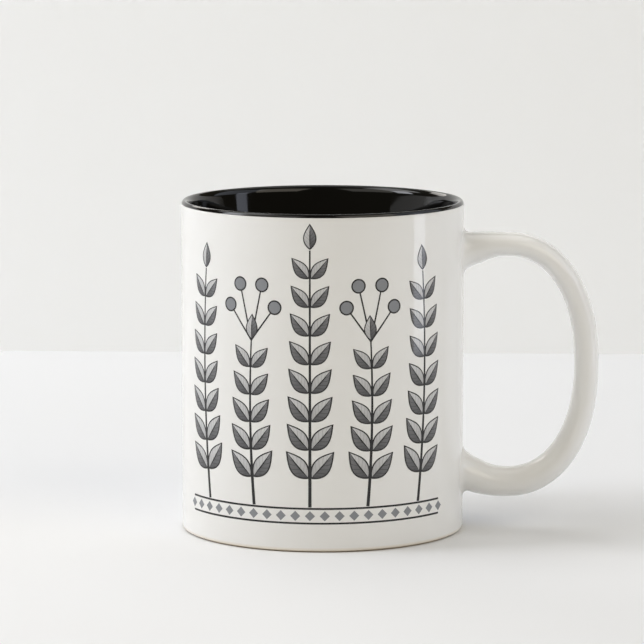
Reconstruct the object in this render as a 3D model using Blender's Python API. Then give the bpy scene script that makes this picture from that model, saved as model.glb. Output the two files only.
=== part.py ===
"""Two-tone ceramic coffee mug: a clay cup, its glaze coats and a luted strap handle.

Metres, +Z up. The handle points along +X. The origin is on the table, under the middle
of the whole outline, so the cup's own axis stands to the -X side of it.
"""
import math

import bmesh
import bpy
from mathutils import Vector

MM = 0.001

# Cup, measured over the glaze
CUP_DIAMETER = 82.0 * MM
CUP_HEIGHT = 96.0 * MM
WALL_THICKNESS = 4.5 * MM
FLOOR_THICKNESS = 6.5 * MM
FLOOR_FILLET = 10.0 * MM
LIP_THICKNESS = 2.7 * MM
LIP_TAPER_LENGTH = 16.0 * MM

# Foot
FOOT_RECESS_DEPTH = 2.0 * MM
FOOT_RING_WIDTH = 6.0 * MM
FOOT_EDGE_RADIUS = 0.4 * MM

# Glaze coats
GLAZE_THICKNESS = 0.5 * MM
BARE_FOOT_HEIGHT = 0.5 * MM
LIP_BAND_HEIGHT = 0.95 * MM
SEAM = 0.3 * MM

# Handle, whose centreline is two arms and a round bend between them
HANDLE_REACH = 39.5 * MM
HANDLE_TOP_DROP = 9.5 * MM
HANDLE_BOTTOM_RISE = 8.7 * MM
BEND_OFFSET = 12.5 * MM
BEND_EXPONENT = 2.2
UPPER_ARM_RUN = 31.0 * MM
LOWER_ARM_RUN = 25.0 * MM
UPPER_THICKNESS = 6.8 * MM
GRIP_THICKNESS = 6.75 * MM
LOWER_THICKNESS = 8.5 * MM
UPPER_ROOT_THICKNESS = 9.1 * MM
LOWER_ROOT_THICKNESS = 9.6 * MM
GRIP_WIDTH = 10.5 * MM
ROOT_WIDTH = 14.0 * MM

# Luted joints between the handle's ends and the wall
JOINT_DEPTH = 4.0 * MM
JOINT_FLARE = 2.1 * MM

# Facets
CUP_SIDES = 72
LIP_STEPS = 8
FILLET_STEPS = 6
FOOT_EDGE_STEPS = 3
ARM_STEPS = 5
BEND_STEPS = 24
SECTION_SIDES = 20
JOINT_STEPS = 5
JOINT_BACK_RINGS = 3

# Derived sizes
CUP_RADIUS = CUP_DIAMETER / 2
COAT_DEPTH = GLAZE_THICKNESS + SEAM
CLAY_RADIUS = CUP_RADIUS - COAT_DEPTH
LIP_RADIUS = LIP_THICKNESS / 2
LIP_CENTRE = CUP_RADIUS - LIP_RADIUS
INNER_RADIUS = CUP_RADIUS - WALL_THICKNESS
FLOOR_TOP = FOOT_RECESS_DEPTH + FLOOR_THICKNESS
RECESS_RADIUS = CLAY_RADIUS - FOOT_RING_WIDTH
CUP_AXIS_X = -HANDLE_REACH / 2

UPPER_ARM_Z = CUP_HEIGHT - HANDLE_TOP_DROP - UPPER_THICKNESS / 2
LOWER_ARM_Z = HANDLE_BOTTOM_RISE + LOWER_THICKNESS / 2
BEND_Z = (UPPER_ARM_Z + LOWER_ARM_Z) / 2
BEND_HALF_HEIGHT = (UPPER_ARM_Z - LOWER_ARM_Z) / 2
BEND_X = CUP_RADIUS + BEND_OFFSET
BEND_HALF_WIDTH = HANDLE_REACH - BEND_OFFSET - GRIP_THICKNESS / 2
HANDLE_END_X = CUP_RADIUS + JOINT_DEPTH


def clear_scene():
    """Remove every object that the file opened with."""
    for item in list(bpy.data.objects):
        bpy.data.objects.remove(item, do_unlink=True)


def finish(name, colour, roughness):
    """Make a Principled material of one colour."""
    material = bpy.data.materials.new(name)
    material.use_nodes = True
    shader = material.node_tree.nodes["Principled BSDF"]
    shader.inputs["Base Color"].default_value = (*colour, 1.0)
    shader.inputs["Roughness"].default_value = roughness
    shader.inputs["Metallic"].default_value = 0.0
    return material


def add_solid(name, points, faces, material, parent):
    """Make one closed, smooth-shaded object with its faces pointing out."""
    mesh = bpy.data.meshes.new(name)
    mesh.from_pydata(points, [], faces)
    shape = bmesh.new()
    shape.from_mesh(mesh)
    bmesh.ops.recalc_face_normals(shape, faces=shape.faces)
    shape.to_mesh(mesh)
    shape.free()
    mesh.shade_smooth()
    mesh.set_sharp_from_angle(angle=math.radians(40))
    item = bpy.data.objects.new(name, mesh)
    bpy.context.scene.collection.objects.link(item)
    item.parent = parent
    if material:
        mesh.materials.append(material)
    return item


def turned(profile):
    """Turn a closed outline of (radius, height) points about Z, closing poles to a point."""
    points = []
    rows = []
    for radius, height in profile:
        start = len(points)
        if radius == 0.0:
            points.append((0.0, 0.0, height))
            rows.append([start] * CUP_SIDES)
            continue
        for side in range(CUP_SIDES):
            angle = math.tau * side / CUP_SIDES
            points.append((radius * math.cos(angle), radius * math.sin(angle), height))
        rows.append(list(range(start, start + CUP_SIDES)))
    faces = []
    for row, following in zip(rows, rows[1:] + rows[:1]):
        for side in range(CUP_SIDES):
            turn = (side + 1) % CUP_SIDES
            corners = dict.fromkeys((row[side], row[turn], following[turn], following[side]))
            if len(corners) > 2:
                faces.append(tuple(corners))
    return points, faces


def bridged(rings):
    """Join rings of points into a closed skin, with a cap on the first ring and on the last."""
    sides = len(rings[0])
    points = [point for ring in rings for point in ring]
    faces = [tuple(range(sides)), tuple(range(len(points) - sides, len(points)))]
    for start in range(0, len(points) - sides, sides):
        for side in range(sides):
            turn = (side + 1) % sides
            faces.append((start + side, start + turn, start + sides + turn, start + sides + side))
    return points, faces


def arc(centre, radius, start, end, steps):
    """Return the points of an arc in the (radius, height) plane, angles in degrees."""
    points = []
    for step in range(steps + 1):
        angle = math.radians(start + (end - start) * step / steps)
        points.append((centre[0] + radius * math.cos(angle), centre[1] + radius * math.sin(angle)))
    return points


def lining_profile(depth):
    """Trace the inside of the cup at a depth under its glaze, from the lip's outside to the axis."""
    lip_centre = (LIP_CENTRE, CUP_HEIGHT - LIP_RADIUS)
    wall = INNER_RADIUS + depth
    floor = FLOOR_TOP - depth
    fillet_centre = (INNER_RADIUS - FLOOR_FILLET, FLOOR_TOP + FLOOR_FILLET)
    points = arc(lip_centre, LIP_RADIUS - depth, 0, 180, LIP_STEPS)
    points.append((wall, CUP_HEIGHT - LIP_TAPER_LENGTH))
    points += arc(fillet_centre, FLOOR_FILLET + depth, 0, -90, FILLET_STEPS)
    points.append((0.0, floor))
    return points


def build_clay_body(material, parent):
    """Make the clay cup: lip, wall, floor, and the foot ring that it stands on."""
    inside = lining_profile(COAT_DEPTH)
    edge_centre = (CLAY_RADIUS - FOOT_EDGE_RADIUS, FOOT_EDGE_RADIUS)
    outside = arc(edge_centre, FOOT_EDGE_RADIUS, 0, -90, FOOT_EDGE_STEPS)
    outside += [(RECESS_RADIUS, 0.0), (RECESS_RADIUS, FOOT_RECESS_DEPTH), (0.0, FOOT_RECESS_DEPTH)]
    return add_solid("clay_body", *turned(inside[::-1] + outside), material, parent)


def lip_outside(depth, height):
    """Return the radius of the lip's outer side at a height, at a depth under its glaze."""
    rise = max(height - (CUP_HEIGHT - LIP_RADIUS), 0.0)
    return LIP_CENTRE + math.sqrt((LIP_RADIUS - depth) ** 2 - rise ** 2)


def liner_side(depth):
    """Trace one side of the dark coat, from its edge on the lip's outside to the axis."""
    edge = CUP_HEIGHT - LIP_BAND_HEIGHT
    above = [point for point in lining_profile(depth) if point[1] > edge or point[0] < LIP_CENTRE]
    return [(lip_outside(depth, edge), edge)] + above


def build_liner_glaze(material, parent):
    """Make the dark coat of the floor, the inner wall and the lip."""
    profile = liner_side(0.0) + liner_side(GLAZE_THICKNESS)[::-1]
    return add_solid("liner_glaze", *turned(profile), material, parent)


def build_outer_glaze(material, parent, windows):
    """Make the pale coat of the wall, open at the two joints."""
    top = CUP_HEIGHT - LIP_BAND_HEIGHT - SEAM
    shoulder = CUP_HEIGHT - LIP_RADIUS
    inner = CUP_RADIUS - GLAZE_THICKNESS
    outside = [(lip_outside(0.0, top), top)]
    inside = [(lip_outside(GLAZE_THICKNESS, top), top)]
    if top > shoulder:
        outside.append((CUP_RADIUS, shoulder))
        inside.insert(0, (inner, shoulder))
    profile = outside + [(CUP_RADIUS, BARE_FOOT_HEIGHT), (inner, BARE_FOOT_HEIGHT)] + inside
    coat = add_solid("outer_glaze", *turned(profile), material, parent)
    for window in windows:
        cut = coat.modifiers.new(window.name, "BOOLEAN")
        cut.operation = "DIFFERENCE"
        cut.solver = "EXACT"
        cut.object = window
    return coat


def build_base_glaze(material, parent):
    """Make the pale coat of the recess inside the foot ring."""
    top = FOOT_RECESS_DEPTH - SEAM
    bottom = top - GLAZE_THICKNESS
    radius = RECESS_RADIUS - SEAM
    profile = [(0.0, top), (radius, top), (radius, bottom), (0.0, bottom)]
    return add_solid("base_glaze", *turned(profile), material, parent)


def arm_point(x, run, bend_height):
    """Return the centreline point of an arm at x, bowed towards the handle's middle height."""
    share = ((BEND_X - x) / run) ** BEND_EXPONENT
    height = abs(bend_height) * (1.0 - share) ** (1.0 / BEND_EXPONENT)
    return Vector((x, 0.0, BEND_Z + math.copysign(height, bend_height)))


def bend_point(angle):
    """Return the centreline point of the bend, a superellipse, at an angle from +X."""
    power = 2.0 / BEND_EXPONENT
    across = abs(math.cos(angle)) ** power
    upward = math.copysign(abs(math.sin(angle)) ** power, math.sin(angle))
    return Vector((BEND_X + BEND_HALF_WIDTH * across, 0.0, BEND_Z + BEND_HALF_HEIGHT * upward))


def ease(share):
    """Blend smoothly from 0 to 1."""
    return share * share * (3.0 - 2.0 * share)


def handle_centreline():
    """List the centreline from the upper end to the lower end, with the thickness at each point."""
    path = []
    arm_length = BEND_X - HANDLE_END_X
    for step in range(ARM_STEPS):
        left = 1.0 - step / ARM_STEPS
        point = arm_point(BEND_X - arm_length * left, UPPER_ARM_RUN, BEND_HALF_HEIGHT)
        path.append((point, UPPER_THICKNESS + (UPPER_ROOT_THICKNESS - UPPER_THICKNESS) * left ** 2))
    for step in range(BEND_STEPS + 1):
        angle = math.pi / 2 - math.pi * step / BEND_STEPS
        end = UPPER_THICKNESS if angle > 0.0 else LOWER_THICKNESS
        share = ease(abs(angle) / (math.pi / 2))
        path.append((bend_point(angle), GRIP_THICKNESS + (end - GRIP_THICKNESS) * share))
    for step in range(1, ARM_STEPS + 1):
        left = step / ARM_STEPS
        point = arm_point(BEND_X - arm_length * left, LOWER_ARM_RUN, -BEND_HALF_HEIGHT)
        path.append((point, LOWER_THICKNESS + (LOWER_ROOT_THICKNESS - LOWER_THICKNESS) * left ** 2))
    return path


def oval(centre, outward, thickness, width):
    """Return a ring of points: an ellipse across the strap, thick along outward and wide along Y."""
    ring = []
    for side in range(SECTION_SIDES):
        angle = math.tau * side / SECTION_SIDES
        across = outward * (thickness / 2 * math.cos(angle))
        along = Vector((0.0, width / 2 * math.sin(angle), 0.0))
        ring.append(centre + across + along)
    return ring


def handle_rings():
    """Return the strap's cross-sections, widening from the grip to both roots."""
    path = handle_centreline()
    points = [point for point, _ in path]
    travel = [0.0]
    for before, after in zip(points, points[1:]):
        travel.append(travel[-1] + (after - before).length)
    rings = []
    for index, (point, thickness) in enumerate(path):
        before = points[max(index - 1, 0)]
        after = points[min(index + 1, len(points) - 1)]
        tangent = (after - before).normalized()
        outward = Vector((-tangent.z, 0.0, tangent.x))
        from_middle = abs(2.0 * travel[index] / travel[-1] - 1.0)
        width = GRIP_WIDTH + (ROOT_WIDTH - GRIP_WIDTH) * from_middle ** 2
        rings.append(oval(point, outward, thickness, width))
    return rings


def build_handle(rings, material, parent):
    """Make the strap handle between its two joints."""
    return add_solid("handle", *bridged(rings), material, parent)


def joint_footprint(end_ring, lean):
    """Return, for each point of the end, its start, its rise on the way to the wall, and its way out."""
    centre = sum(end_ring, Vector()) / len(end_ring)
    points = []
    for point in end_ring:
        wall_x = math.sqrt(CUP_RADIUS ** 2 - point.y ** 2)
        rise = lean.z / lean.x * (wall_x - point.x)
        away = Vector((0.0, point.y, point.z - centre.z)).normalized()
        points.append((point + lean * SEAM, rise, away))
    return points


def joint_ring(footprint, share, wall_radius, growth):
    """Return the ring at a share of the way to the wall, flared by a quarter round."""
    ring = []
    flare = JOINT_FLARE * (1.0 - math.sqrt(1.0 - share ** 2)) + growth
    for start, rise, away in footprint:
        y = start.y + away.y * flare
        z = start.z + rise * share + away.z * flare
        wall_x = math.sqrt(wall_radius ** 2 - y ** 2)
        ring.append(Vector((start.x + (wall_x - start.x) * share, y, z)))
    return ring


def build_joint(name, end_ring, lean, material, parent):
    """Make the collar of slip that flares from one end of the handle onto the clay wall."""
    footprint = joint_footprint(end_ring, lean)
    back_radius = CUP_RADIUS - GLAZE_THICKNESS
    rings = [joint_ring(footprint, step / JOINT_STEPS, CUP_RADIUS, 0.0) for step in range(JOINT_STEPS + 1)]
    seat = joint_ring(footprint, 1.0, back_radius, 0.0)
    centre = sum(seat, Vector()) / len(seat)
    for step in range(JOINT_BACK_RINGS):
        size = 1.0 - step / JOINT_BACK_RINGS
        ring = []
        for point in seat:
            spot = centre.lerp(point, size)
            ring.append(Vector((math.sqrt(back_radius ** 2 - spot.y ** 2), spot.y, spot.z)))
        rings.append(ring)
    return add_solid(name, *bridged(rings), material, parent)


def build_window(name, end_ring, lean, parent):
    """Make the cutter that opens the outer coat around one joint."""
    footprint = joint_footprint(end_ring, lean)
    edge = joint_ring(footprint, 1.0, CUP_RADIUS, SEAM)
    outer = [Vector((HANDLE_END_X, point.y, point.z)) for point in edge]
    inner = [Vector((INNER_RADIUS, point.y, point.z)) for point in edge]
    window = add_solid(name, *bridged([outer, inner]), None, parent)
    window.hide_render = True
    window.display_type = "WIRE"
    return window


def main():
    """Build the mug around an empty that stands on the cup's axis."""
    clear_scene()
    cup_axis = bpy.data.objects.new("cup_axis", None)
    cup_axis.location = (CUP_AXIS_X, 0.0, 0.0)
    bpy.context.scene.collection.objects.link(cup_axis)

    clay = finish("bare_clay", (0.62, 0.54, 0.44), 0.8)
    slip = finish("slip_joint", (0.86, 0.85, 0.83), 0.15)
    pale_handle = finish("handle_glaze", (0.87, 0.86, 0.84), 0.1)
    pale_wall = finish("wall_glaze", (0.88, 0.88, 0.87), 0.08)
    pale_base = finish("base_coat", (0.86, 0.86, 0.85), 0.12)
    dark = finish("dark_glaze", (0.006, 0.006, 0.007), 0.06)

    rings = handle_rings()
    ends = {"upper_joint": (rings[0], rings[1]), "lower_joint": (rings[-1], rings[-2])}
    windows = []
    for name, (end_ring, next_ring) in ends.items():
        lean = (sum(end_ring, Vector()) - sum(next_ring, Vector())).normalized()
        build_joint(name, end_ring, lean, slip, cup_axis)
        windows.append(build_window(name + "_window", end_ring, lean, cup_axis))
    build_handle(rings, pale_handle, cup_axis)
    build_clay_body(clay, cup_axis)
    build_liner_glaze(dark, cup_axis)
    build_outer_glaze(pale_wall, cup_axis, windows)
    build_base_glaze(pale_base, cup_axis)
    bpy.context.view_layer.update()


main()
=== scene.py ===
"""Looks of the two-tone coffee mug: glazes, bare foot, printed sprigs, studio and camera.

Metres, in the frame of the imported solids: +Z up, the handle along +X.
"""
import logging
import math
from dataclasses import dataclass
from enum import Enum
from typing import Sequence

import bmesh
import bpy
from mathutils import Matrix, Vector


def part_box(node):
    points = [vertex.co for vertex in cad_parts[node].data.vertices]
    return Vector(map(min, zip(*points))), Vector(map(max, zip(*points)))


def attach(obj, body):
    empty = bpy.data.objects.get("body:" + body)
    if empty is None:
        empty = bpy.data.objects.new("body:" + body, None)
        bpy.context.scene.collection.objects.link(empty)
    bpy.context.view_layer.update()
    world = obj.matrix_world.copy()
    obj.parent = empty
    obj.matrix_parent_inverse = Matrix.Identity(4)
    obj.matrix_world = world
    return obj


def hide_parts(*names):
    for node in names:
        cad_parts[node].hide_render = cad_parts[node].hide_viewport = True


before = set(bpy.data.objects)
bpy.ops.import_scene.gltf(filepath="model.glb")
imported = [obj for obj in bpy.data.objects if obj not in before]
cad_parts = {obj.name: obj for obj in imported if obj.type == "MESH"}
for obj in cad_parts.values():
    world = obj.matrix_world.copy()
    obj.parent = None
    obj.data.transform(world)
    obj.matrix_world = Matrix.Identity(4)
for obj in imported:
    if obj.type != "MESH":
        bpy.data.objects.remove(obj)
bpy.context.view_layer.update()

LOG = logging.getLogger("mug")
MM = 0.001
BODY = "root"
SEAM = 0.3 * MM  # between neighbouring solids
SHARP_ANGLE = 50.0  # edges sharper than this stay crisp, in degrees
NOISE_SPAN = (0.3, 0.7)  # where most of a noise field lies
RIPPLE_DETAIL = 1.0
MIX_COLOURS = (6, 7)  # the Mix node's inputs for two colours
MIX_RESULT = 2
MERGE_DISTANCE = 0.002 * MM
LEAF_GRID = (22, 5)  # points along and across a leaf
LEAF_POWER = 0.82  # below 1, a leaf is widest before its middle
VEIN_SLANT = 1.3
HEAD_FROM = 0.985  # share of a stem where its head leaf sits

Point2 = tuple[float, float]
Point3 = tuple[float, float, float]
Colour = tuple[float, float, float]
Material = bpy.types.Material
Mesh = bpy.types.Mesh
Object = bpy.types.Object
Socket = bpy.types.NodeSocket
Tree = bpy.types.NodeTree
Wires = dict[str, object]
Settings = dict[str, str]


class Slot(Enum):
    """The record's material slots."""

    CLAY = "bare_clay"
    WHITE = "white_glaze"
    BLACK = "black_glaze"


class LeafSide(Enum):
    """The part of a leaf a layer of ink covers, as its reach on both sides of the midrib."""

    WHOLE = (-1.0, 1.0)
    UPPER = (0.1, 1.0)
    LOWER = (-1.0, -0.1)


def make_object(name: str, mesh: Mesh, material: Material) -> Object:
    """Put a mesh into the scene as an object at the origin.

    Args:
        name: the piece's name.
        mesh: its mesh, already in place.
        material: its finish.

    Returns:
        The new object.
    """
    mesh.name = name
    mesh.materials.clear()
    mesh.materials.append(material)
    item = bpy.data.objects.new(name, mesh)
    bpy.context.scene.collection.objects.link(item)
    return item


def smooth_mesh(name: str, points: Sequence[Sequence[float]], faces: Sequence[Sequence[int]],
                sharp_angle: float = SHARP_ANGLE) -> Mesh:
    """Make a closed mesh with outward faces and smooth shading.

    Args:
        name: the mesh's name.
        points: its vertices.
        faces: its faces, as vertex indices.
        sharp_angle: edges sharper than this many degrees stay crisp.

    Returns:
        The mesh.
    """
    mesh = bpy.data.meshes.new(name)
    mesh.from_pydata([tuple(point) for point in points], [], faces)
    shape = bmesh.new()
    shape.from_mesh(mesh)
    bmesh.ops.recalc_face_normals(shape, faces=shape.faces)
    shape.to_mesh(mesh)
    shape.free()
    mesh.shade_smooth()
    mesh.set_sharp_from_angle(angle=math.radians(sharp_angle))
    return mesh


def arc(centre: Point2, half: Point2, start: float, end: float, steps: int) -> list[Point2]:
    """Return the points of an elliptic arc in the (radius, height) plane.

    Args:
        centre: the ellipse's centre.
        half: its half width and half height.
        start: first angle, in degrees.
        end: last angle, in degrees.
        steps: number of chords.

    Returns:
        The points, both ends included.
    """
    points = []
    for step in range(steps + 1):
        angle = math.radians(start + (end - start) * step / steps)
        points.append((centre[0] + half[0] * math.cos(angle),
                       centre[1] + half[1] * math.sin(angle)))
    return points


def swell(value: float, power: float) -> float:
    """Raise a sine or cosine to a power and keep its sign."""
    return math.copysign(abs(value) ** power, value)


def ring_faces(rows: Sequence[Sequence[int]]) -> list[tuple[int, ...]]:
    """Join each ring of vertex indices to the next, by triangles where a ring is one point.

    Args:
        rows: the rings, each of the same length.

    Returns:
        The faces, as vertex indices.
    """
    faces = []
    for row, following in zip(rows, rows[1:]):
        for side in range(len(row)):
            turn = (side + 1) % len(row)
            corners = dict.fromkeys((row[side], row[turn], following[turn], following[side]))
            if len(corners) > 2:
                faces.append(tuple(corners))
    return faces


def aim(name: str, data: bpy.types.ID, place: Vector, target: Vector) -> Object:
    """Put a lamp or camera into the scene, looking from its place at a target.

    Args:
        name: the object's name.
        data: the lamp or camera.
        place: where it stands.
        target: what it looks at.

    Returns:
        The new object.
    """
    item = bpy.data.objects.new(name, data)
    item.location = place
    item.rotation_euler = (target - place).to_track_quat("-Z", "Y").to_euler()
    bpy.context.scene.collection.objects.link(item)
    return item


def ease(share: float) -> float:
    """Blend smoothly from 0 to 1."""
    return share * share * (3.0 - 2.0 * share)


class NodeBuilder:
    """Adds nodes to a tree and wires them."""

    def __init__(self, tree: Tree) -> None:
        """Start on a tree."""
        self.tree = tree

    def add(self, kind: str, wires: Wires, settings: Settings | None = None) -> bpy.types.Node:
        """Add a node.

        Args:
            kind: the node's type.
            wires: what each of its inputs takes, a socket or a constant.
            settings: the node's own choices.

        Returns:
            The node.
        """
        node = self.tree.nodes.new(kind)
        for name, choice in (settings or {}).items():
            setattr(node, name, choice)
        for name, value in wires.items():
            self.wire(value, node.inputs[name])
        return node

    def flow(self, kind: str, wires: Wires, settings: Settings | None = None) -> Socket:
        """Add a node and return its first output."""
        return self.add(kind, wires, settings).outputs[0]

    def wire(self, value: object, socket: Socket) -> None:
        """Give an input a socket's value or a constant.

        Args:
            value: the socket or the constant.
            socket: the input.
        """
        if isinstance(value, Socket):
            self.tree.links.new(value, socket)
        else:
            socket.default_value = value

    def math(self, operation: str, first: object, second: object = 0.0) -> Socket:
        """Return a sum, product or other function of one or two numbers.

        Args:
            operation: the function's name.
            first: the first number, a socket or a constant.
            second: the second, where the function takes one.

        Returns:
            The result.
        """
        node = self.add("ShaderNodeMath", {}, {"operation": operation})
        self.wire(first, node.inputs[0])
        self.wire(second, node.inputs[1])
        return node.outputs["Value"]

    def split(self, vector: Socket) -> bpy.types.NodeOutputs:
        """Return a vector's parts X, Y and Z."""
        return self.add("ShaderNodeSeparateXYZ", {"Vector": vector}).outputs


class ShaderBuilder(NodeBuilder):
    """Builds the node tree of one Principled material."""

    def __init__(self, name: str) -> None:
        """Start a material with a Principled shader and Object coordinates.

        Args:
            name: the material's name.
        """
        self.material = bpy.data.materials.new(name)
        self.material.use_nodes = True
        super().__init__(self.material.node_tree)
        self.shader = self.tree.nodes["Principled BSDF"]
        self.place = self.add("ShaderNodeTexCoord", {}).outputs["Object"]

    def noise(self, scale: float, detail: float = 3.0) -> Socket:
        """Return a noise field of so many lumps per metre."""
        wires = {"Scale": scale, "Detail": detail, "Vector": self.place}
        return self.add("ShaderNodeTexNoise", wires).outputs["Fac"]

    def specks(self, scale: float) -> Socket:
        """Return the distance field of scattered specks, so many per metre."""
        wires = {"Scale": scale, "Vector": self.place}
        return self.add("ShaderNodeTexVoronoi", wires).outputs["Distance"]

    def height(self) -> Socket:
        """Return the height above the table."""
        return self.split(self.place)["Z"]

    def attribute(self, name: str) -> Socket:
        """Return a named attribute of the mesh as a number."""
        return self.add("ShaderNodeAttribute", {}, {"attribute_name": name}).outputs["Fac"]

    def remap(self, value: Socket, source: Point2, target: Point2) -> Socket:
        """Map a field from one range to another, clamped.

        Args:
            value: the field.
            source: the range it comes from.
            target: the range it goes to.

        Returns:
            The mapped field.
        """
        wires = {"Value": value, "From Min": source[0], "From Max": source[1],
                 "To Min": target[0], "To Max": target[1]}
        return self.add("ShaderNodeMapRange", wires).outputs["Result"]

    def mix(self, share: Socket, first: Colour | Socket, second: Colour) -> Socket:
        """Mix two colours by a field; the first may be a field too.

        Args:
            share: how much of the second colour shows.
            first: the first colour.
            second: the second colour.

        Returns:
            The mixed colour.
        """
        node = self.add("ShaderNodeMix", {"Factor": share}, {"data_type": "RGBA"})
        start = first if isinstance(first, Socket) else (*first, 1.0)
        for colour, index in zip((start, (*second, 1.0)), MIX_COLOURS):
            self.wire(colour, node.inputs[index])
        return node.outputs[MIX_RESULT]

    def surface(self, **values: object) -> None:
        """Give the shader's inputs, named with underscores, their fields or constants."""
        for name, value in values.items():
            self.wire(value, self.shader.inputs[name.replace("_", " ")])

    def bump(self, value: Socket, depth: float, strength: float) -> None:
        """Raise the surface by a field, to a depth in metres."""
        wires = {"Distance": depth, "Strength": strength, "Height": value}
        self.surface(Normal=self.add("ShaderNodeBump", wires).outputs["Normal"])

    def ripple(self, scale: float, depth: float, strength: float) -> None:
        """Raise the surface by soft waves, so many per metre."""
        self.bump(self.noise(scale, RIPPLE_DETAIL), depth, strength)


@dataclass(frozen=True)
class WhiteGlaze:
    """Glossy white glaze, a little uneven, that thins to cream at the foot."""

    name: str = "white_glaze"
    bright: Colour = (0.875, 0.872, 0.862)
    dull: Colour = (0.845, 0.840, 0.826)
    cream: Colour = (0.76, 0.69, 0.58)
    cloud_scale: float = 45.0
    gloss_scale: float = 160.0
    gloss: Point2 = (0.045, 0.085)
    ripple_scale: float = 220.0
    ripple_depth: float = 0.03 * MM
    ripple_strength: float = 0.25
    cream_from: float = 1.4 * MM
    cream_to: float = 0.5 * MM

    def material(self) -> Material:
        """Return the finish as a material.

        Returns:
            The material.
        """
        build = ShaderBuilder(self.name)
        cloud = build.mix(build.noise(self.cloud_scale), self.bright, self.dull)
        thin = build.remap(build.height(), (self.cream_to, self.cream_from), (1.0, 0.0))
        build.surface(Base_Color=build.mix(thin, cloud, self.cream))
        build.surface(Roughness=build.remap(build.noise(self.gloss_scale), NOISE_SPAN, self.gloss))
        build.ripple(self.ripple_scale, self.ripple_depth, self.ripple_strength)
        return build.material


@dataclass(frozen=True)
class BlackGlaze:
    """Glossy black glaze with a faint brown cast where it is thin."""

    name: str = "black_glaze"
    deep: Colour = (0.002, 0.002, 0.0022)
    thin: Colour = (0.005, 0.0048, 0.0045)
    cloud_scale: float = 70.0
    gloss_scale: float = 140.0
    gloss: Point2 = (0.04, 0.09)
    specular: float = 0.36
    ripple_scale: float = 180.0
    ripple_depth: float = 0.03 * MM
    ripple_strength: float = 0.2

    def material(self) -> Material:
        """Return the finish as a material.

        Returns:
            The material.
        """
        build = ShaderBuilder(self.name)
        build.surface(Base_Color=build.mix(build.noise(self.cloud_scale), self.deep, self.thin))
        build.surface(Roughness=build.remap(build.noise(self.gloss_scale), NOISE_SPAN, self.gloss))
        build.ripple(self.ripple_scale, self.ripple_depth, self.ripple_strength)
        build.surface(Specular_IOR_Level=self.specular)
        return build.material


@dataclass(frozen=True)
class BareClay:
    """Unglazed fired clay: matt, sandy and speckled."""

    name: str = "bare_clay"
    light: Colour = (0.56, 0.45, 0.34)
    dark: Colour = (0.40, 0.30, 0.21)
    speck: Colour = (0.20, 0.14, 0.10)
    cloud_scale: float = 260.0
    speck_scale: float = 900.0
    speck_size: float = 0.16
    grain_scale: float = 2600.0
    grain_depth: float = 0.08 * MM
    grain_strength: float = 0.6
    matt: Point2 = (0.7, 0.95)

    def material(self) -> Material:
        """Return the finish as a material.

        Returns:
            The material.
        """
        build = ShaderBuilder(self.name)
        cloud = build.mix(build.noise(self.cloud_scale), self.light, self.dark)
        spots = build.remap(build.specks(self.speck_scale), (0.0, self.speck_size), (1.0, 0.0))
        build.surface(Base_Color=build.mix(spots, cloud, self.speck))
        grain = build.noise(self.grain_scale)
        build.surface(Roughness=build.remap(grain, NOISE_SPAN, self.matt))
        build.bump(grain, self.grain_depth, self.grain_strength)
        return build.material


@dataclass(frozen=True)
class Ink:
    """Fired ink under a clear gloss: it fades along each leaf and darkens at the veins."""

    name: str
    base: Colour
    tip: Colour
    vein: Colour
    vein_width: float = 0.16
    grain_scale: float = 1400.0
    grain_share: float = 0.12
    grain_span: Point2 = (0.35, 0.75)
    gloss: Point2 = (0.05, 0.09)

    def material(self) -> Material:
        """Return the finish as a material.

        Returns:
            The material.
        """
        build = ShaderBuilder(self.name)
        fade = build.mix(build.attribute("along"), self.base, self.tip)
        grain = build.noise(self.grain_scale)
        share = build.remap(grain, self.grain_span, (0.0, self.grain_share))
        worn = build.mix(share, fade, self.tip)
        veins = build.math("FRACT", build.attribute("veins"))
        lines = build.remap(veins, (0.0, self.vein_width), (1.0, 0.0))
        build.surface(Base_Color=build.mix(lines, worn, self.vein))
        build.surface(Roughness=build.remap(grain, NOISE_SPAN, self.gloss))
        return build.material


@dataclass(frozen=True)
class StagePaint:
    """Matt paint of the floor and backdrop, which can be looked through from behind."""

    name: str
    shade: Colour
    roughness: float = 0.9
    specular: float = 0.1

    def material(self) -> Material:
        """Return the finish as a material.

        Returns:
            The material.
        """
        build = ShaderBuilder(self.name)
        build.surface(Base_Color=(*self.shade, 1.0), Roughness=self.roughness,
                      Specular_IOR_Level=self.specular)
        side = build.add("ShaderNodeNewGeometry", {}).outputs["Backfacing"]
        blend = build.add("ShaderNodeMixShader", {"Fac": side})
        build.wire(build.shader.outputs["BSDF"], blend.inputs[1])
        build.wire(build.flow("ShaderNodeBsdfTransparent", {}), blend.inputs[2])
        build.wire(blend.outputs["Shader"], build.tree.nodes["Material Output"].inputs["Surface"])
        return build.material


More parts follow.
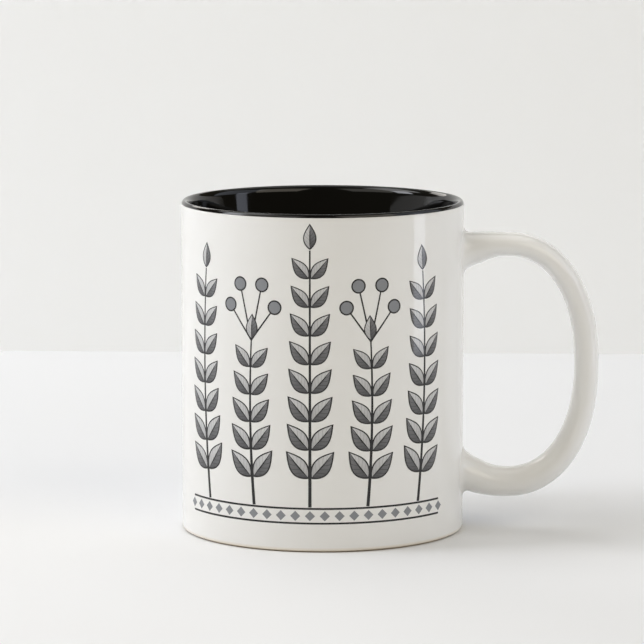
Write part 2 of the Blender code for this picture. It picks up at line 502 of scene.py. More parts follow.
@dataclass
class Cup:
    """The turned cup: white coat, black lining, clay core with its bare foot, and base coat."""

    axis_x: float
    radius: float
    height: float
    band_z: float
    floor_z: float
    clay_radius: float
    recess_radius: float
    recess_z: float
    lip_outer: Point2 = (0.9 * MM, 1.8 * MM)
    lip_inner: Point2 = (1.7 * MM, 2.2 * MM)
    lip_end: float = 168.0
    wall_thickness: float = 4.5 * MM
    lip_taper: float = 18.0 * MM
    taper_power: float = 1.35
    floor_fillet: float = 10.0 * MM
    coat: float = 0.5 * MM
    coat_overlap: float = 0.3 * MM
    coat_edge: float = 0.08 * MM
    coat_step: float = 0.04 * MM
    coat_sharp: float = 30.0
    lining_sharp: float = 20.0
    tuck_angle: float = 3.0
    bare_foot: float = 0.35 * MM
    foot_bead: float = 0.5 * MM
    foot_edge: float = 0.15 * MM
    recess_edge: float = 0.8 * MM
    sides: int = 256
    lip_steps: int = 16
    taper_steps: int = 24
    bead_steps: int = 10
    fillet_steps: int = 24

    @classmethod
    def from_frame(cls) -> "Cup":
        """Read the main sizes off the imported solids.

        Returns:
            The cup.
        """
        wall_low, wall_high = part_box("outer_glaze")
        lining_low, lining_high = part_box("liner_glaze")
        base_low, base_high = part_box("base_glaze")
        clay_low, clay_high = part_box("clay_body")
        return cls(
            axis_x=(wall_low.x + wall_high.x) / 2,
            radius=(wall_high.x - wall_low.x) / 2,
            height=lining_high.z,
            band_z=wall_high.z + SEAM,
            floor_z=lining_low.z + cls.coat,
            clay_radius=(clay_high.x - clay_low.x) / 2,
            recess_radius=(base_high.x - base_low.x) / 2 + SEAM,
            recess_z=base_low.z,
        )

    def turned(self, name: str, profile: Sequence[Point2], material: Material,
               sharp_angle: float = SHARP_ANGLE) -> Object:
        """Turn a closed outline of (radius, height) points about the cup's axis.

        Args:
            name: the piece's name.
            profile: the outline, which may touch the axis at radius 0.
            material: the piece's finish.
            sharp_angle: edges sharper than this many degrees stay crisp.

        Returns:
            The turned piece.
        """
        points: list[Point3] = []
        rows: list[list[int]] = []
        for radius, height in profile:
            start = len(points)
            if radius == 0.0:
                points.append((self.axis_x, 0.0, height))
                rows.append([start] * self.sides)
                continue
            for side in range(self.sides):
                angle = math.tau * side / self.sides
                x = self.axis_x + radius * math.cos(angle)
                points.append((x, radius * math.sin(angle), height))
            rows.append(list(range(start, start + self.sides)))
        faces = ring_faces(rows + rows[:1])
        return make_object(name, smooth_mesh(name, points, faces, sharp_angle), material)

    def lip(self, half: Point2, depth: float, start: float, end: float) -> list[Point2]:
        """Trace a quarter of the lip, an ellipse under the crest, between two angles in degrees.

        Args:
            half: the ellipse's half width and half height.
            depth: how far under the surface the line runs.
            start: first angle; 0 is the outside, 90 the crest and 180 the inside.
            end: last angle.

        Returns:
            The points, both ends included.
        """
        centre = (self.radius - self.lip_outer[0], self.height - half[1])
        return arc(centre, (half[0] - depth, half[1] - depth), start, end, self.lip_steps)

    def band_angle(self, rise: float) -> float:
        """Return the lip's angle at a rise over the edge of the black coat."""
        half = self.lip_outer[1]
        return math.degrees(math.asin((self.band_z + rise - self.height + half) / half))

    def lining_side(self, depth: float) -> list[Point2]:
        """Trace the inside at a depth under its gloss, from the lip's outside to the axis.

        Args:
            depth: how far under the gloss the line runs.

        Returns:
            The points of (radius, height).
        """
        points = self.lip(self.lip_outer, depth, self.band_angle(self.coat_edge), 90)
        points += self.lip(self.lip_inner, depth, 90, self.lip_end)[1:]
        lip_x, lip_z = points[-1]
        inner = self.radius - self.wall_thickness
        for step in range(1, self.taper_steps + 1):
            share = step / self.taper_steps
            radius = inner + depth + (lip_x - inner - depth) * (1.0 - share) ** self.taper_power
            points.append((radius, lip_z + (self.height - self.lip_taper - lip_z) * share))
        fillet_centre = (inner - self.floor_fillet, self.floor_z + self.floor_fillet)
        points += arc(fillet_centre, (self.floor_fillet + depth,) * 2, 0, -90, self.fillet_steps)
        points.append((0.0, self.floor_z - depth))
        return points

    def build_lining(self, material: Material) -> Object:
        """Make the black coat of the lip, inner wall and floor.

        Args:
            material: its finish.

        Returns:
            The piece.
        """
        edge_x = self.lip(self.lip_outer, 0.0, self.band_angle(0.0), 90)[0][0]
        edge = [(edge_x - self.coat, self.band_z), (edge_x - self.coat_step, self.band_z)]
        profile = edge + self.lining_side(0.0) + self.lining_side(self.coat)[::-1]
        piece = self.turned("black_lining", profile, material, self.lining_sharp)
        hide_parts("liner_glaze")
        return piece

    def build_coat(self, material: Material) -> Object:
        """Make the white coat of the wall, tucked under the black one and beaded at the foot.

        Args:
            material: its finish.

        Returns:
            The piece.
        """
        edge = self.band_angle(-self.coat_edge)
        tucked = self.band_angle(self.coat_overlap)
        profile = self.lip(self.lip_outer, 2 * self.coat_step, tucked, edge + self.tuck_angle)
        profile += self.lip(self.lip_outer, 0.0, edge, 0.0)
        bead_centre = (self.radius - self.foot_bead, self.bare_foot + self.foot_bead)
        profile += arc(bead_centre, (self.foot_bead,) * 2, 0, -90, self.bead_steps)
        profile.append((self.radius - self.coat, self.bare_foot + self.foot_bead))
        profile.append((self.radius - self.coat, self.height - self.lip_outer[1]))
        piece = self.turned("white_coat", profile, material, self.coat_sharp)
        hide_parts("outer_glaze")
        return piece

    def build_clay(self, material: Material) -> Object:
        """Make the clay core, which shows at the foot ring only.

        Args:
            material: its finish.

        Returns:
            The piece.
        """
        inside = self.lining_side(self.coat + 2 * self.coat_step)[::-1]
        outer_edge = (self.clay_radius - self.foot_edge, self.foot_edge)
        inner_edge = (self.recess_radius + self.recess_edge, self.recess_edge)
        ceiling = self.recess_z + self.coat + self.coat_step
        profile = inside + [(self.clay_radius, self.height - 2 * self.lip_outer[1])]
        profile += arc(outer_edge, (self.foot_edge,) * 2, 0, -90, self.bead_steps)
        profile += arc(inner_edge, (self.recess_edge,) * 2, -90, -180, self.bead_steps)
        profile += [(self.recess_radius, ceiling), (0.0, ceiling)]
        piece = self.turned("clay_core", profile, material)
        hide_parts("clay_body")
        return piece

    def build_base(self, material: Material) -> Object:
        """Make the white coat of the recess under the cup, rising to a fillet at the ring.

        Args:
            material: its finish.

        Returns:
            The piece.
        """
        top = self.recess_z + self.coat
        rim = self.recess_radius - self.coat_step
        fillet = self.foot_bead / 2
        profile = [(0.0, top), (rim, top)]
        centre = (rim - fillet, self.recess_z - fillet)
        profile += arc(centre, (fillet, fillet), 0, 90, self.bead_steps)
        profile.append((0.0, self.recess_z))
        piece = self.turned("base_coat", profile, material)
        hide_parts("base_glaze")
        return piece


@dataclass
class Handle:
    """The strap handle with both luted joints, smoothed under one coat of glaze."""

    cup: Cup
    reach: float
    top_z: float
    bottom_z: float
    bend_offset: float = 12.5 * MM
    bend_exponent: float = 2.2
    upper_run: float = 31.0 * MM
    lower_run: float = 25.0 * MM
    upper_thickness: float = 6.8 * MM
    grip_thickness: float = 7.1 * MM
    coat_trim: float = 0.2 * MM
    lower_lift: float = 0.5 * MM
    lower_thickness: float = 8.5 * MM
    upper_root: float = 9.1 * MM
    lower_root: float = 9.6 * MM
    grip_width: float = 10.5 * MM
    root_width: float = 14.0 * MM
    joint_depth: float = 4.0 * MM
    joint_flare: float = 2.1 * MM
    seat_depth: float = 0.35 * MM
    section_exponent: float = 2.15
    sharp_angle: float = 80.0
    arm_steps: int = 16
    bend_steps: int = 96
    joint_steps: int = 14
    sides: int = 64

    @classmethod
    def from_frame(cls, cup: Cup) -> "Handle":
        """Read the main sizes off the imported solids."""
        low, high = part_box("handle")
        return cls(cup=cup, reach=high.x - cup.axis_x - cup.radius, top_z=high.z, bottom_z=low.z)

    def centreline(self) -> list[tuple[Vector, float]]:
        """List the strap's middle from the upper joint to the lower, with its thickness.

        Returns:
            The points, each with the thickness there.
        """
        upper_z = self.top_z - self.upper_thickness / 2
        lower_z = self.bottom_z + self.lower_lift + self.lower_thickness / 2
        middle_z = (upper_z + lower_z) / 2
        half_height = (upper_z - lower_z) / 2
        half_width = self.reach - self.coat_trim - self.bend_offset - self.grip_thickness / 2
        bend_x = self.cup.radius + self.bend_offset
        arm = self.bend_offset - self.joint_depth
        power = 2.0 / self.bend_exponent

        def arm_point(left: float, run: float, way: float, thin: float,
                      root: float) -> tuple[Vector, float]:
            """Return a point of an arm.

            Args:
                left: the share of the arm that is left to the bend.
                run: the arm's run to where its curve would end.
                way: 1 for the upper arm, -1 for the lower.
                thin: its thickness at the bend.
                root: its thickness at the joint.

            Returns:
                The point and the thickness.
            """
            share = (arm * left / run) ** self.bend_exponent
            lift = half_height * (1.0 - share) ** (1.0 / self.bend_exponent)
            point = Vector((bend_x - arm * left, 0.0, middle_z + way * lift))
            return point, thin + (root - thin) * left ** 2

        upper = (self.upper_run, 1.0, self.upper_thickness, self.upper_root)
        lower = (self.lower_run, -1.0, self.lower_thickness, self.lower_root)
        steps = range(self.arm_steps)
        path = [arm_point(1.0 - step / self.arm_steps, *upper) for step in steps]
        for step in range(self.bend_steps + 1):
            angle = math.pi / 2 - math.pi * step / self.bend_steps
            across = swell(math.cos(angle), power)
            upward = swell(math.sin(angle), power)
            end = self.upper_thickness if angle > 0.0 else self.lower_thickness
            share = ease(abs(angle) / (math.pi / 2))
            point = Vector((bend_x + half_width * across, 0.0, middle_z + half_height * upward))
            path.append((point, self.grip_thickness + (end - self.grip_thickness) * share))
        return path + [arm_point((step + 1) / self.arm_steps, *lower) for step in steps]

    def section(self, centre: Vector, outward: Vector, thickness: float,
                width: float) -> list[Vector]:
        """Return one cross-section, an oval a little fuller than an ellipse.

        Args:
            centre: the section's middle.
            outward: the way away from the fingers.
            thickness: its size that way.
            width: its size across.

        Returns:
            The ring of points.
        """
        power = 2.0 / self.section_exponent
        ring = []
        for side in range(self.sides):
            angle = math.tau * side / self.sides
            across = swell(math.cos(angle), power)
            along = swell(math.sin(angle), power)
            sideways = Vector((0.0, width / 2 * along, 0.0))
            ring.append(centre + outward * (thickness / 2 * across) + sideways)
        return ring

    def strap_rings(self) -> list[list[Vector]]:
        """Return the strap's sections, widening from the grip to both joints.

        Returns:
            The rings, from the upper end to the lower.
        """
        path = self.centreline()
        points = [point for point, _ in path]
        travel = [0.0]
        for before, after in zip(points, points[1:]):
            travel.append(travel[-1] + (after - before).length)
        rings = []
        for index, (point, thickness) in enumerate(path):
            before = points[max(index - 1, 0)]
            after = points[min(index + 1, len(points) - 1)]
            tangent = (after - before).normalized()
            outward = Vector((-tangent.z, 0.0, tangent.x))
            from_middle = abs(2.0 * travel[index] / travel[-1] - 1.0)
            width = self.grip_width + (self.root_width - self.grip_width) * from_middle ** 2
            rings.append(self.section(point, outward, thickness, width))
        return rings

    def joint_rings(self, end_ring: list[Vector], next_ring: list[Vector]) -> list[list[Vector]]:
        """Return the rings that flare from one end of the strap onto the wall, wall last.

        Args:
            end_ring: the strap's last section.
            next_ring: the section before it, which gives the way it runs.

        Returns:
            The rings, the last of them sunk under the wall's coat.
        """
        centre = sum(end_ring, Vector()) / len(end_ring)
        lean = (centre - sum(next_ring, Vector()) / len(next_ring)).normalized()
        rings = []
        for step in range(1, self.joint_steps + 2):
            share = min(step / self.joint_steps, 1.0)
            sink = self.seat_depth if step > self.joint_steps else 0.0
            flare = self.joint_flare * (1.0 - math.sqrt(1.0 - share ** 2))
            ring = []
            for point in end_ring:
                away = Vector((0.0, point.y, point.z - centre.z)).normalized()
                wall_x = math.sqrt(self.cup.radius ** 2 - point.y ** 2)
                rise = lean.z / lean.x * (wall_x - point.x)
                y = point.y + away.y * flare
                z = point.z + rise * share + away.z * flare
                seat_x = math.sqrt((self.cup.radius - sink) ** 2 - y ** 2)
                ring.append(Vector((point.x + (seat_x - point.x) * share, y, z)))
            rings.append(ring)
        return rings

    def build(self, material: Material) -> Object:
        """Make the handle from joint to joint as one smooth piece.

        Args:
            material: its finish.

        Returns:
            The piece.
        """
        strap = self.strap_rings()
        upper = self.joint_rings(strap[0], strap[1])[::-1]
        rings = upper + strap + self.joint_rings(strap[-1], strap[-2])
        shift = Vector((self.cup.axis_x, 0.0, 0.0))
        points = [point + shift for ring in rings for point in ring]
        rows = [range(start, start + self.sides) for start in range(0, len(points), self.sides)]
        faces = [tuple(rows[0]), tuple(rows[-1])] + ring_faces(rows)
        mesh = smooth_mesh("glazed_handle", points, faces, self.sharp_angle)
        piece = make_object("glazed_handle", mesh, material)
        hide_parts("handle", "upper_joint", "lower_joint")
        return piece


class TreeBuilder(NodeBuilder):
    """Builds a Geometry Nodes tree that turns flat lines into ink on the cup's wall."""

    def __init__(self, name: str) -> None:
        """Start a tree whose flat plane is millimetre-true: X along the wall, Y up it.

        Args:
            name: the tree's name.
        """
        super().__init__(bpy.data.node_groups.new(name, "GeometryNodeTree"))
        for label, way in (("Print", "OUTPUT"), ("Lines", "INPUT")):
            self.tree.interface.new_socket(label, in_out=way, socket_type="NodeSocketGeometry")
        self.entry = self.add("NodeGroupInput", {})
        self.position = self.flow("GeometryNodeInputPosition", {})
        self.spline = self.flow("GeometryNodeSplineParameter", {})

    def size(self, name: str, kind: str = "NodeSocketFloat") -> Socket:
        """Return a named input of the tree, new on its first use.

        Args:
            name: the input's name.
            kind: its type.

        Returns:
            The input.
        """
        if name not in self.entry.outputs:
            self.tree.interface.new_socket(name, in_out="INPUT", socket_type=kind)
        return self.entry.outputs[name]

    def plus(self, first: object, second: object) -> Socket:
        """Return a sum."""
        return self.math("ADD", first, second)

    def minus(self, first: object, second: object) -> Socket:
        """Return a difference."""
        return self.math("SUBTRACT", first, second)

    def times(self, first: object, second: object) -> Socket:
        """Return a product."""
        return self.math("MULTIPLY", first, second)

    def vector(self, x: object, y: object, z: object) -> Socket:
        """Return a vector of three numbers."""
        return self.flow("ShaderNodeCombineXYZ", {"X": x, "Y": y, "Z": z})

    def curves(self) -> Socket:
        """Return the lines as curves."""
        return self.flow("GeometryNodeMeshToCurve", {"Mesh": self.entry.outputs["Lines"]})

    def spaced(self) -> Socket:
        """Return the lines with points at an even spacing."""
        wires = {"Curve": self.curves(), "Length": self.size("Spacing")}
        return self.flow("GeometryNodeResampleCurve", wires, {"mode": "LENGTH"})

    def store(self, geometry: Socket, name: str, value: object) -> Socket:
        """Keep a number with each point under a name.

        Args:
            geometry: the geometry.
            name: the attribute's name.
            value: the number.

        Returns:
            The geometry with the attribute.
        """
        wires = {"Geometry": geometry, "Name": name, "Value": value}
        settings = {"data_type": "FLOAT", "domain": "POINT"}
        return self.flow("GeometryNodeStoreNamedAttribute", wires, settings)

    def merge(self, geometry: Socket) -> Socket:
        """Weld the points that coincide."""
        wires = {"Geometry": geometry, "Distance": MERGE_DISTANCE}
        return self.flow("GeometryNodeMergeByDistance", wires)

    def join(self, parts: Sequence[Socket]) -> Socket:
        """Return several geometries as one.

        Args:
            parts: the geometries.

        Returns:
            The joined geometry.
        """
        node = self.add("GeometryNodeJoinGeometry", {})
        for part in parts:
            self.tree.links.new(part, node.inputs["Geometry"])
        return node.outputs["Geometry"]

    def instances(self, shape: Socket, where: Socket, turn: object,
                  scale: object) -> Socket:
        """Set a shape on some of the evenly spaced points, turned from the line's own way.

        Args:
            shape: the flat shape, pointing along X.
            where: which points take it.
            turn: the angle from the line, in radians.
            scale: its size there.

        Returns:
            The instances.
        """
        way = self.split(self.flow("GeometryNodeInputTangent", {}))
        angle = self.plus(self.math("ARCTAN2", way["Y"], way["X"]), turn)
        wires = {"Points": self.spaced(), "Selection": where, "Instance": shape,
                 "Rotation": self.vector(0.0, 0.0, angle), "Scale": self.vector(scale, scale, 1.0)}
        return self.flow("GeometryNodeInstanceOnPoints", wires)

    def finish(self, flat: Socket) -> Tree:
        """Make flat shapes real, thicken them to closed slabs and wrap them round the wall.

        Args:
            flat: the flat shapes.

        Returns:
            The tree.
        """
        merged = self.merge(self.flow("GeometryNodeRealizeInstances", {"Geometry": flat}))
        wires = {"Mesh": merged, "Offset": (0.0, 0.0, 1.0), "Offset Scale": self.size("Thickness"),
                 "Individual": False}
        raised = self.flow("GeometryNodeExtrudeMesh", wires, {"mode": "FACES"})
        under = self.flow("GeometryNodeFlipFaces", {"Mesh": merged})
        closed = self.merge(self.join([raised, under]))
        place = self.split(self.position)
        wall = self.size("Wall radius")
        radius = self.plus(self.minus(wall, self.size("Sink")), place["Z"])
        angle = self.plus(self.math("DIVIDE", place["X"], wall), self.size("Turn"))
        x = self.plus(self.size("Axis"), self.times(radius, self.math("SINE", angle)))
        toward = self.times(radius, self.math("COSINE", angle))
        spot = self.vector(x, self.times(toward, -1.0), place["Y"])
        wrapped = self.flow("GeometryNodeSetPosition", {"Geometry": closed, "Position": spot})
        wires = {"Geometry": wrapped, "Material": self.size("Ink", "NodeSocketMaterial")}
        inked = self.flow("GeometryNodeSetMaterial", wires)
        self.add("NodeGroupOutput", {"Print": inked})
        return self.tree


def leaf_shape(build: TreeBuilder, low: object, high: object, curl: object) -> Socket:
    """Lay out one flat leaf, or a strip of it, with its foot at the origin.

    Args:
        build: the tree to add to.
        low: the strip's first edge, as a share of the leaf's half width.
        high: its other edge.
        curl: how far the tip swings sideways.

    Returns:
        The leaf's mesh.
    """
    wires = {"Size X": 1.0, "Size Y": 1.0, "Vertices X": LEAF_GRID[0], "Vertices Y": LEAF_GRID[1]}
    grid = build.flow("GeometryNodeMeshGrid", wires)
    place = build.split(build.position)
    along = build.plus(place["X"], 0.5)
    share = build.plus(place["Y"], 0.5)
    reach = build.math("SINE", build.times(build.math("POWER", along, LEAF_POWER), math.pi))
    half = build.times(reach, build.times(build.size("Leaf width"), 0.5))
    across = build.plus(low, build.times(build.minus(high, low), share))
    swing = build.times(curl, build.times(along, along))
    x = build.plus(build.size("Leaf foot"), build.times(build.size("Leaf length"), along))
    y = build.plus(build.times(half, across), swing)
    slant = build.times(build.math("ABSOLUTE", across), VEIN_SLANT)
    kept = build.store(grid, "along", along)
    kept = build.store(kept, "veins", build.minus(build.times(along, build.size("Veins")), slant))
    wires = {"Geometry": kept, "Position": build.vector(x, y, 0.0)}
    return build.flow("GeometryNodeSetPosition", wires)


def leaf_tree() -> Tree:
    """Build the tree that sets pairs of leaves along each stem and one at its head.

    Returns:
        The tree.
    """
    build = TreeBuilder("leaves")
    low, high, curl = build.size("Low"), build.size("High"), build.size("Curl")
    spread = build.size("Spread")
    head = build.math("GREATER_THAN", build.spline, HEAD_FROM)
    body = build.times(build.math("GREATER_THAN", build.spline, build.size("First leaf")),
                      build.math("LESS_THAN", build.spline, HEAD_FROM))
    scale = build.minus(1.0, build.times(build.spline, build.size("Taper")))
    *mirrored, back = [build.times(value, -1.0) for value in (high, low, curl, spread)]
    right = build.instances(leaf_shape(build, low, high, curl), body, back, scale)
    left = build.instances(leaf_shape(build, *mirrored), body, spread, scale)
    top = build.instances(leaf_shape(build, low, high, 0.0), head, 0.0, scale)
    return build.finish(build.join([right, left, top]))


def ribbon_tree() -> Tree:
    """Build the tree that draws each line as a ribbon which thins towards its head.

    Returns:
        The tree.
    """
    build = TreeBuilder("ribbons")
    half = build.times(build.size("Ribbon width"), 0.5)
    wires = {"Start": build.vector(build.times(half, -1.0), 0.0, 0.0),
             "End": build.vector(half, 0.0, 0.0)}
    profile = build.flow("GeometryNodeCurvePrimitiveLine", wires)
    thin = build.minus(1.0, build.times(build.spline, build.size("Taper")))
    flat = build.flow("GeometryNodeSetCurveNormal", {"Curve": build.spaced()}, {"mode": "Z_UP"})
    wires = {"Curve": flat, "Profile Curve": profile, "Scale": thin}
    return build.finish(build.flow("GeometryNodeCurveToMesh", wires))


def spot_tree() -> Tree:
    """Build the tree that sets round or cornered spots on the lines' points.

    Returns:
        The tree.
    """
    build = TreeBuilder("spots")
    wires = {"Vertices": build.size("Corners", "NodeSocketInt"),
             "Radius": build.size("Spot radius")}
    disc = build.flow("GeometryNodeMeshCircle", wires, {"fill_type": "TRIANGLE_FAN"})
    where = build.math("GREATER_THAN", build.spline, build.size("First spot"))
    return build.finish(build.instances(disc, where, 0.0, 1.0))


@dataclass(frozen=True)
class Stem:
    """One line of the print: along the wall from its middle, and up it from the table."""

    foot: Point2
    head: Point2
    bow: float = 0.0
    steps: int = 24

    def path(self) -> list[Point3]:
        """Return the line's points in the flat plane.

        Returns:
            The points, both ends included.
        """
        points = []
        for step in range(self.steps + 1):
            share = step / self.steps
            x = self.foot[0] + (self.head[0] - self.foot[0]) * share
            y = self.foot[1] + (self.head[1] - self.foot[1]) * share
            points.append((x + self.bow * 4.0 * share * (1.0 - share), y, 0.0))
        return points


@dataclass
class Print:
    """A plain printed row of leafy sprigs over a border, in black and greys."""

    cup: Cup
    turn: float = -3.0
    ground_z: float = 13.0 * MM
    stem_spacing: float = 16.6 * MM
    tall: float = 86.0 * MM
    middle: float = 79.0 * MM
    short: float = 60.0 * MM
    lean: float = 1.6 * MM
    leaf_length: float = 10.6 * MM
    leaf_width: float = 5.4 * MM
    leaf_spacing: float = 7.6 * MM
    leaf_spread: float = 46.0
    leaf_curl: float = 0.9 * MM
    leaf_taper: float = 0.30
    leaf_foot: float = 0.2 * MM
    first_leaf: float = 0.06
    inset_foot: float = 1.6
    inset_length: float = 3.4
    inset_width: float = 2.0
    outline: float = 0.42 * MM
    veins: float = 6.0
    stem_width: float = 0.95 * MM
    stem_taper: float = 0.55
    ribbon_step: float = 1.5 * MM
    twig_width: float = 0.5 * MM
    twig_taper: float = 0.2
    twig_stretch: float = 1.35
    twig_length: float = 12.0 * MM
    twig_angles: tuple[float, ...] = (-36.0, -13.0, 12.0, 37.0)
    berry_radius: float = 2.1 * MM
    berry_corners: int = 28
    berry_from: float = 0.99
    border_low: float = 8.4 * MM
    border_high: float = 12.6 * MM
    border_half: float = 42.0 * MM
    border_width: float = 0.55 * MM
    border_steps: int = 90
    lozenge_radius: float = 1.45 * MM
    lozenge_spacing: float = 4.2 * MM
    lift: float = 0.02 * MM
    sink: float = 0.06 * MM
    sharp_angle: float = 40.0

    def stems(self) -> list[Stem]:
        """Return the five stems, tall and short by turns.

        Returns:
            The stems, from left to right.
        """
        gap = self.stem_spacing
        heads = ((-2, self.middle), (-1, self.short), (0, self.tall), (1, self.short),
                 (2, self.middle))
        stems = []
        for place, head in heads:
            lean = self.lean * place / 2
            stems.append(Stem((gap * place, self.ground_z), (gap * place + lean, head), lean))
        return stems

    def twigs(self) -> list[Stem]:
        """Return the berry stalks that fan out from the two short stems' heads.

        Returns:
            The stalks.
        """
        stalks = []
        for stem in self.stems():
            if stem.head[1] > self.short:
                continue
            for index, angle in enumerate(self.twig_angles):
                outer = index in (0, len(self.twig_angles) - 1)
                length = self.twig_length * (1.0 if outer else self.twig_stretch)
                side = math.sin(math.radians(angle)) * length
                rise = math.cos(math.radians(angle)) * length
                stalks.append(Stem(stem.head, (stem.head[0] + side, stem.head[1] + rise)))
        return stalks

    def border(self, height: float) -> Stem:
        """Return a level line round the printed part of the wall."""
        half = self.border_half
        return Stem((-half, height), (half, height), steps=self.border_steps)

    def inked(self, name: str, lines: Sequence[Stem], tree: Tree, layer: int,
              sizes: dict[str, float], ink: Material) -> Mesh:
        """Run lines through a tree and return the plain mesh.

        Args:
            name: the mesh's name.
            lines: the flat lines.
            tree: the tree that inks them.
            layer: 1 for the first layer of ink on the glaze, 2 for the next.
            sizes: the tree's own sizes, by name.
            ink: the ink.

        Returns:
            The wrapped, closed mesh.
        """
        points: list[Point3] = []
        edges = []
        for line in lines:
            path = line.path()
            edges += [(len(points) + step, len(points) + step + 1) for step in range(len(path) - 1)]
            points += path
        flat = bpy.data.meshes.new(name)
        flat.from_pydata(points, edges, [])
        item = bpy.data.objects.new(name, flat)
        modifier = item.modifiers.new("print", "NODES")
        modifier.node_group = tree
        shared = {"Wall radius": self.cup.radius, "Axis": self.cup.axis_x,
                  "Turn": math.radians(self.turn), "Sink": self.sink,
                  "Thickness": self.sink + self.lift * layer, "Ink": ink}
        for socket in tree.interface.items_tree:
            if socket.in_out == "INPUT" and socket.socket_type != "NodeSocketGeometry":
                modifier[socket.identifier] = {**shared, **sizes}[socket.name]
        bpy.context.scene.collection.objects.link(item)
        graph = bpy.context.evaluated_depsgraph_get()
        mesh = bpy.data.meshes.new_from_object(item.evaluated_get(graph), depsgraph=graph)
        item.modifiers.clear()
        bpy.data.objects.remove(item)
        bpy.data.meshes.remove(flat)
        return mesh

    def leaves(self, name: str, tree: Tree, side: LeafSide, ink: Material) -> Mesh:
        """Return one layer of all the leaves: the whole outline, or a half inside it.

        Args:
            name: the mesh's name.
            tree: the tree of the leaves.
            side: the part of each leaf.
            ink: the ink.

        Returns:
            The mesh.
        """
        whole = side is LeafSide.WHOLE
        inset = 0.0 if whole else self.outline
        sizes = {"Spacing": self.leaf_spacing, "Spread": math.radians(self.leaf_spread),
                 "First leaf": self.first_leaf, "Taper": self.leaf_taper,
                 "Curl": self.leaf_curl, "Veins": self.veins,
                 "Leaf foot": self.leaf_foot + self.inset_foot * inset,
                 "Leaf length": self.leaf_length - self.inset_length * inset,
                 "Leaf width": self.leaf_width - self.inset_width * inset,
                 "Low": side.value[0], "High": side.value[1]}
        return self.inked(name, self.stems(), tree, 1 if whole else 2, sizes, ink)

    def ribbons(self, name: str, tree: Tree, lines: Sequence[Stem], width: float, taper: float,
                ink: Material) -> Mesh:
        """Return lines drawn with a width."""
        sizes = {"Spacing": self.ribbon_step, "Ribbon width": width, "Taper": taper}
        return self.inked(name, lines, tree, 1, sizes, ink)

    def piece(self, name: str, meshes: Sequence[Mesh], ink: Material) -> Object:
        """Join meshes of one ink into one piece.

        Args:
            name: the piece's name.
            meshes: its meshes.
            ink: the ink.

        Returns:
            The piece.
        """
        shape = bmesh.new()
        for mesh in meshes:
            shape.from_mesh(mesh)
        bmesh.ops.recalc_face_normals(shape, faces=shape.faces)
        joined = bpy.data.meshes.new(name)
        shape.to_mesh(joined)
        shape.free()
        joined.shade_smooth()
        joined.set_sharp_from_angle(angle=math.radians(self.sharp_angle))
        item = make_object(name, joined, ink)
        return item

    def build(self, black: Ink, light: Ink, dark: Ink, mid: Ink) -> list[Object]:
        """Print every layer.

        Args:
            black: ink of the outlines, stems and border lines.
            light: ink of each leaf's upper half.
            dark: ink of each leaf's lower half.
            mid: ink of the berries and lozenges.

        Returns:
            The printed pieces.
        """
        leaf, ribbon, spot = leaf_tree(), ribbon_tree(), spot_tree()
        inks = [ink.material() for ink in (black, light, dark, mid)]
        borders = [self.border(self.border_low), self.border(self.border_high)]
        band = [self.border((self.border_low + self.border_high) / 2)]
        berry = {"Spacing": self.twig_length / 2, "First spot": self.berry_from,
                 "Corners": self.berry_corners, "Spot radius": self.berry_radius}
        inner = {**berry, "Spot radius": self.berry_radius - self.outline}
        lozenge = {"Spacing": self.lozenge_spacing, "First spot": -1.0, "Corners": 4,
                   "Spot radius": self.lozenge_radius}
        stems, twigs = self.stems(), self.twigs()
        lines = self.piece("print_lines", [
            self.leaves("leaf_outline", leaf, LeafSide.WHOLE, inks[0]),
            self.ribbons("stems", ribbon, stems, self.stem_width, self.stem_taper, inks[0]),
            self.ribbons("twigs", ribbon, twigs, self.twig_width, self.twig_taper, inks[0]),
            self.ribbons("borders", ribbon, borders, self.border_width, 0.0, inks[0]),
            self.inked("berry_outline", twigs, spot, 1, berry, inks[0]),
        ], inks[0])
        upper = self.piece("print_leaf_light", [
            self.leaves("light", leaf, LeafSide.UPPER, inks[1])], inks[1])
        lower = self.piece("print_leaf_dark", [
            self.leaves("dark", leaf, LeafSide.LOWER, inks[2])], inks[2])
        fruit = self.piece("print_berries", [
            self.inked("berries", twigs, spot, 2, inner, inks[3]),
            self.inked("lozenges", band, spot, 1, lozenge, inks[3]),
        ], inks[3])
        return [lines, upper, lower, fruit]


@dataclass
class Floor:
    """A plain pale floor and the backdrop where it ends."""

    axis_x: float
    back: float = 344.0 * MM
    front: float = 2.0
    half_width: float = 2.0
    wall_height: float = 0.26
    floor_paint: StagePaint = StagePaint("floor_paint", (0.865, 0.875, 0.90))
    wall_paint: StagePaint = StagePaint("wall_paint", (0.972, 0.983, 0.998))

    def build(self) -> None:
        """Make both planes as stage, facing the mug."""
        left, right = self.axis_x - self.half_width, self.axis_x + self.half_width
        front, back, top = -self.front, self.back, self.wall_height
        floor = [(left, front, 0.0), (right, front, 0.0), (right, back, 0.0), (left, back, 0.0)]
        wall = [(left, back, 0.0), (right, back, 0.0), (right, back, top), (left, back, top)]
        for name, corners, paint in (("floor", floor, self.floor_paint),
                                     ("backdrop", wall, self.wall_paint)):
            mesh = bpy.data.meshes.new(name)
            mesh.from_pydata(corners, [], [(0, 1, 2, 3)])
            make_object(name, mesh, paint.material())


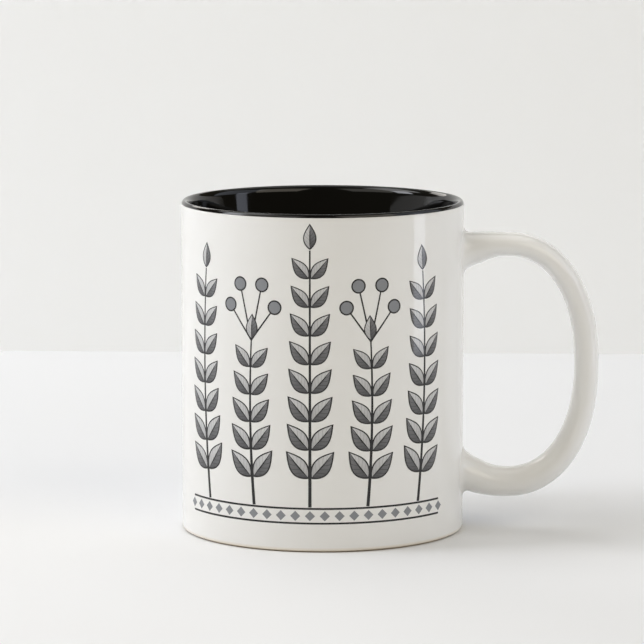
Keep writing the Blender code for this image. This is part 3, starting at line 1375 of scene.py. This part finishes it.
@dataclass(frozen=True)
class SoftBox:
    """A rectangular studio lamp aimed at the mug."""

    name: str
    turn: float
    distance: float
    height: float
    width: float
    tall: float
    radiance: float
    tint: Colour = (1.0, 1.0, 1.0)
    card: bool = False

    def build(self, target: Vector, mug: bpy.types.Collection) -> None:
        """Hang the lamp at its turn from the photograph's viewing side, positive to the right.

        Args:
            target: the point that it is aimed at.
            mug: the mug's pieces, which alone get the light of a card that stands near them.
        """
        angle = math.radians(self.turn)
        place = Vector((target.x + math.sin(angle) * self.distance,
                        -math.cos(angle) * self.distance, self.height))
        lamp = bpy.data.lights.new(self.name, "AREA")
        lamp.shape = "RECTANGLE"
        lamp.size = self.width
        lamp.size_y = self.tall
        lamp.energy = self.radiance * math.pi * self.width * self.tall
        lamp.color = self.tint
        item = aim(self.name, lamp, place, target)
        if self.card:
            item.light_linking.receiver_collection = mug


@dataclass
class Studio:
    """The soft light of the photograph: a bright left side, a dim right one, a warm room."""

    cup: Cup
    room: Colour = (0.098, 0.087, 0.060)
    lamps: tuple[SoftBox, ...] = (
        SoftBox("window", -80.0, 1.0, 0.62, 0.34, 0.40, 8.0, (0.92, 0.945, 1.0)),
        SoftBox("left_top", -90.0, 0.9, 1.20, 0.80, 0.80, 3.4),
        SoftBox("left_back", -147.0, 1.0, 0.64, 0.65, 0.32, 3.7, (1.0, 0.97, 0.92)),
        SoftBox("left_low", -92.0, 0.9, 0.12, 1.00, 0.24, 0.68, card=True),
        SoftBox("left_front", -45.0, 1.1, 0.90, 1.00, 0.90, 1.22, (1.0, 0.965, 0.885)),
        SoftBox("top_back", 180.0, 0.5, 1.20, 1.00, 1.00, 0.87),
        SoftBox("right_side", 95.0, 0.9, 0.70, 0.90, 0.70, 1.02, (0.80, 0.87, 1.0)),
        SoftBox("right_card", 83.0, 0.36, 0.12, 0.075, 0.24, 2.35, (0.81, 0.865, 1.0), card=True),
        SoftBox("right_front", 45.0, 1.1, 0.90, 1.00, 0.90, 1.9, (1.0, 0.925, 0.78)),
    )

    def build(self, pieces: Sequence[Object]) -> None:
        """Hang the lamps about the mug's pieces and fill the room.

        Args:
            pieces: the mug's pieces.
        """
        mug = bpy.data.collections.new("mug_pieces")
        for piece in pieces:
            mug.objects.link(piece)
        target = Vector((self.cup.axis_x, 0.0, self.cup.height / 2))
        for lamp in self.lamps:
            lamp.build(target, mug)
        world = bpy.data.worlds.new("room")
        world.use_nodes = True
        world.node_tree.nodes["Background"].inputs["Color"].default_value = (*self.room, 1.0)
        bpy.context.scene.world = world
        bpy.context.scene.view_settings.view_transform = "Standard"


@dataclass
class PhotoCamera:
    """The photograph's camera, fitted to the rim, foot and sides of the cup."""

    cup: Cup
    distance: float = 1.1
    elevation: float = 8.61
    turn: float = 2.0
    aim_z: float = 60.1 * MM
    aim_side: float = -0.17 * MM
    sensor: float = 36.0
    lens: float = 211.0

    def build(self) -> None:
        """Make the scene's camera."""
        angle, lift = math.radians(self.turn), math.radians(self.elevation)
        side = Vector((math.cos(angle), math.sin(angle), 0.0))
        back = Vector((math.sin(angle), -math.cos(angle), 0.0))
        axis = Vector((self.cup.axis_x, 0.0, 0.0))
        place = axis + back * (math.cos(lift) * self.distance)
        place.z = self.cup.height / 2 + math.sin(lift) * self.distance
        target = axis + side * self.aim_side + Vector((0.0, 0.0, self.aim_z))
        data = bpy.data.cameras.new("photo_camera")
        data.sensor_width = self.sensor
        data.lens = self.lens
        bpy.context.scene.camera = aim("photo_camera", data, place, target)


def main() -> None:
    """Build the mug, its studio and its camera."""
    logging.basicConfig(level=logging.INFO, format="%(name)s: %(message)s")
    cup = Cup.from_frame()
    handle = Handle.from_frame(cup)
    PhotoCamera(cup).build()
    white = WhiteGlaze().material()
    pieces = [
        cup.build_lining(BlackGlaze().material()),
        cup.build_coat(white),
        cup.build_clay(BareClay().material()),
        cup.build_base(white),
        handle.build(white),
    ]
    pieces += Print(cup).build(
        black=Ink("black_ink", (0.006, 0.006, 0.007), (0.012, 0.012, 0.013), (0.006, 0.006, 0.007)),
        light=Ink("light_ink", (0.42, 0.42, 0.43), (0.66, 0.66, 0.67), (0.22, 0.22, 0.23)),
        dark=Ink("dark_ink", (0.06, 0.06, 0.065), (0.20, 0.20, 0.21), (0.02, 0.02, 0.022)),
        mid=Ink("mid_ink", (0.24, 0.25, 0.27), (0.32, 0.33, 0.35), (0.24, 0.25, 0.27)),
    )
    for piece in pieces:
        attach(piece, BODY)
        LOG.info("%s: %d faces", piece.name, len(piece.data.polygons))
    Floor(cup.axis_x).build()
    Studio(cup).build(pieces)


if __name__ == "__main__":
    main()
